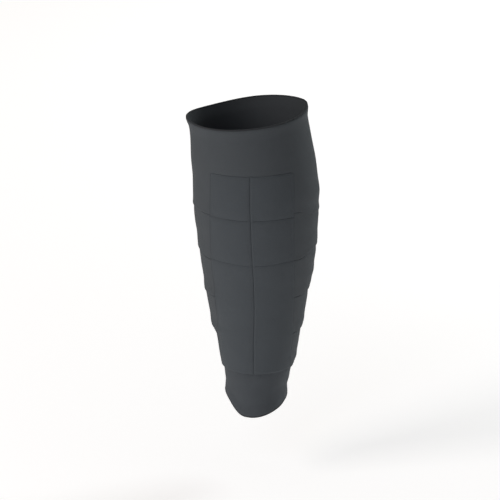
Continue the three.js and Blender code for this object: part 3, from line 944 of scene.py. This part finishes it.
class Stitches:
    """Rows of lock stitches, each a short rounded thread that dips into the cloth at its ends."""

    LENGTH, PITCH = 2.1 * MM, 2.9 * MM
    HALF_WIDTH, HALF_HEIGHT = 0.17 * MM, 0.12 * MM
    SIDES = 6
    RAY_START = 9 * MM  # further out than any cloth stands

    def __init__(self, carriers):
        vertices, polygons = [], []
        for piece in carriers:
            base = len(vertices)
            vertices += [v.co.copy() for v in piece.data.vertices]
            polygons += [[base + i for i in p.vertices] for p in piece.data.polygons]
        self.tree = BVHTree.FromPolygons(vertices, polygons)
        self.points, self.faces = [], []

    def _touch(self, s, z):
        """The outermost cloth at each place, and its normal."""
        turn = FORM.turn_at(s, z)
        high = FORM.points(turn, z, np.full(len(s), self.RAY_START))
        low = FORM.points(turn, z, np.zeros(len(s)))
        spots, normals = [], []
        for a, b in zip(high, low):
            way = Vector(b - a).normalized()
            hit, normal = self.tree.ray_cast(Vector(a), way)[:2]
            spots.append(hit if hit is not None else Vector(b))
            normals.append(normal if normal is not None and normal.dot(way) < 0 else -way)
        return np.array(spots), np.array(normals)

    def row(self, s, z):
        """Stitches along a line that is given as close points in s and z."""
        s, z = np.broadcast_arrays(np.asarray(s, float), np.asarray(z, float))
        along = np.concatenate([[0], np.cumsum(np.hypot(np.diff(s), np.diff(z)))])
        count = int((along[-1] - self.LENGTH) / self.PITCH)
        first = (along[-1] - count * self.PITCH) / 2
        share = np.array([-0.5, -0.3, 0.0, 0.3, 0.5])
        places = first + np.arange(count + 1)[:, None] * self.PITCH + share * self.LENGTH
        flat_s, flat_z = np.interp(places, along, s), np.interp(places, along, z)
        spots, normals = self._touch(flat_s.ravel(), flat_z.ravel())
        for five, normal in zip(spots.reshape(-1, 5, 3), normals.reshape(-1, 5, 3)):
            self._stitch(five, normal.mean(axis=0))

    def _stitch(self, five, up):
        way = five[-1] - five[0]
        way = way / max(np.linalg.norm(way), 1e-9)
        up = up - way * up.dot(way)
        up = up / np.linalg.norm(up)
        across = np.cross(way, up)
        lift = np.array([-0.9, 0.25, 0.6, 0.25, -0.9]) * self.HALF_HEIGHT
        thick = (0.6, 1.0, 1.0, 1.0, 0.6)
        base = len(self.points)
        for k in range(5):
            for j in range(self.SIDES):
                a = j * 2 * math.pi / self.SIDES
                side = across * math.cos(a) * self.HALF_WIDTH + up * math.sin(a) * self.HALF_HEIGHT
                self.points.append(five[k] + up * lift[k] + side * thick[k])
        for k in range(4):
            for j in range(self.SIDES):
                a, b = base + k * self.SIDES + j, base + k * self.SIDES + (j + 1) % self.SIDES
                self.faces.append([a, a + self.SIDES, b + self.SIDES, b])
        self.faces.append([base + j for j in range(self.SIDES)])
        self.faces.append([base + 4 * self.SIDES + j for j in reversed(range(self.SIDES))])


TUBE, tube_cut = tube()
TOP_BAND, top_cut = top_band()
ORDER = list(BAND_EDGES)
SIDE_BANDS = [side_band(name, above, 20 + i) for i, (above, name) in enumerate(zip(ORDER, ORDER[1:]))]
PANEL_ROWS = [("upper", "top", "middle"), ("middle", "middle", "lower"), ("lower", "lower", "bottom")]
PANELS = [
    back_panel(row, side, top, bottom, 40 + 2 * i + (side > 0))
    for i, (row, top, bottom) in enumerate(PANEL_ROWS)
    for side in (-1, 1)
]

RIM_BEAD = bound_edge("top_binding", rim_at, 0.6 * MM, -1.15 * MM, 1.2 * MM, 0.8 * MM)
HEM_BEAD = bound_edge("bottom_binding", hem_at, -0.7 * MM, -1.15 * MM, 0.25 * MM, 0.9 * MM)


def stitch_everything():
    """Rows of stitches beside the seams and along the bands' lower edges."""
    stitches = Stitches([TUBE, TOP_BAND, *(band for band, _ in SIDE_BANDS), *PANELS])
    beside = SEAM_SHOULDER + 0.1 * MM
    inset = beside + 2 * MM
    for side in (-1, 1):
        for across, below in ((beside, 2 * MM), (SIDE_SEAM - beside, CORNER + 2 * MM)):
            top = float(seam_line("top", side * across)) - below
            stitches.row(side * across, np.linspace(top, BOTTOM_SEAM + 2 * MM, 120))
        reach = np.linspace(inset, SIDE_SEAM - inset, 60) * side
        for kind, above in (("middle", -beside), ("lower", -beside), ("bottom", beside)):
            stitches.row(reach, seam_line(kind, reach) + above)
        reach = np.linspace(inset, SIDE_SEAM - CORNER - 2 * MM, 60) * side
        stitches.row(reach, seam_line("top", reach) - beside)
    for name, foot in BAND_FEET.items():
        ends = SIDE_SEAM + 2.5 * MM
        along = np.linspace(ends, float(FORM.girth(foot)) - ends, 260)
        stitches.row(along, lower_edge(foot, BAND_EDGES[name], FORM.from_back(along, foot)) + 2.2 * MM)
    piece = make_mesh("seam_stitches", stitches.points, stitches.faces)
    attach(piece, "root")
    piece.data.materials.append(THREAD)
    return piece


STITCHES = stitch_everything()


def look_at(thing, target):
    thing.rotation_mode = "QUATERNION"
    thing.rotation_quaternion = (Vector(target) - thing.location).to_track_quat("-Z", "Y")


def direction(azimuth, elevation):
    """The way to a place seen from the sleeve, azimuth in degrees from its back towards +X."""
    a, e = math.radians(azimuth), math.radians(elevation)
    return Vector((math.sin(a) * math.cos(e), -math.cos(a) * math.cos(e), math.sin(e)))


def add_camera():
    back, right = direction(CAMERA_AZIMUTH, CAMERA_ELEVATION), direction(CAMERA_AZIMUTH + 90, 0)
    up = back.cross(right)
    across, down = (FRAME_PIXELS / 2 - place for place in ORIGIN_PIXEL)
    target = right * across * PIXEL - up * down * PIXEL
    data = bpy.data.cameras.new("camera")
    data.sensor_width = SENSOR
    data.lens = SENSOR * CAMERA_DISTANCE / (FRAME_PIXELS * PIXEL)
    data.clip_start, data.clip_end = 0.1, 60
    camera = add_object("camera", data)
    camera.location = target + back * CAMERA_DISTANCE
    look_at(camera, target)
    bpy.context.scene.camera = camera


def add_light(name, power, colour, azimuth, elevation=25, distance=3.4, size=(1.6, 2.2)):
    """A soft box that faces the sleeve's middle."""
    data = bpy.data.lights.new(name, "AREA")
    data.shape = "RECTANGLE"
    data.size, data.size_y = size
    data.energy = power
    data.color = colour
    light = add_object(name, data)
    middle = Vector((0, 0, -0.07))
    light.location = middle + distance * direction(azimuth, elevation)
    look_at(light, middle)
    light.visible_camera = False


def add_studio():
    """A large pale floor with a painted glow that is stronger far out, and soft light, brightest from the
    left.
    """
    scene = bpy.context.scene
    scene.view_settings.view_transform = "Standard"
    scene.world = bpy.data.worlds.new("studio")
    scene.world.use_nodes = True
    sky = scene.world.node_tree.nodes["Background"].inputs
    sky["Color"].default_value = (1, 1, 0.97, 1)
    sky["Strength"].default_value = 0.185
    height = float(hem_at(np.linspace(-math.pi, math.pi, 60)).min()) - FLOOR_DROP
    corners = [(x * FLOOR_HALF, y * FLOOR_HALF, height) for x, y in ((-1, -1), (1, -1), (1, 1), (-1, 1))]
    floor = make_mesh("floor", corners, [(0, 1, 2, 3)])
    paint = Recipe("pale_floor")
    spot = paint.node("ShaderNodeTexCoord").outputs["Object"]
    far = paint.node("ShaderNodeVectorMath", {0: spot}, operation="LENGTH").outputs["Value"]
    # Painted light: the floor glows, more strongly further out, so that it stays white where the lamps fall
    # off; the glow also lights the sleeve from below.
    glow = paint.maths("MULTIPLY_ADD", paint.maths("MINIMUM", far, 4.0), 0.07, 0.435)
    paint.feed(paint.shader, {"Base Color": (0.9, 0.9, 0.9, 1), "Roughness": 0.9, "Specular IOR Level": 0.1})
    paint.feed(paint.shader, {"Emission Color": (1, 0.95, 0.93, 1), "Emission Strength": glow})
    floor.data.materials.append(paint.material)
    add_light("key", 57.5, (1, 0.96, 0.93), -55)
    add_light("front", 16.5, (0.75, 0.85, 1), -14)
    add_light("far_side", 51.5, (0.88, 0.97, 1), 140)
    add_light("from_below", 0.27, (1, 1, 1), 0, -89.9, -0.071 - height, (0.5, 0.5))


add_camera()
add_studio()
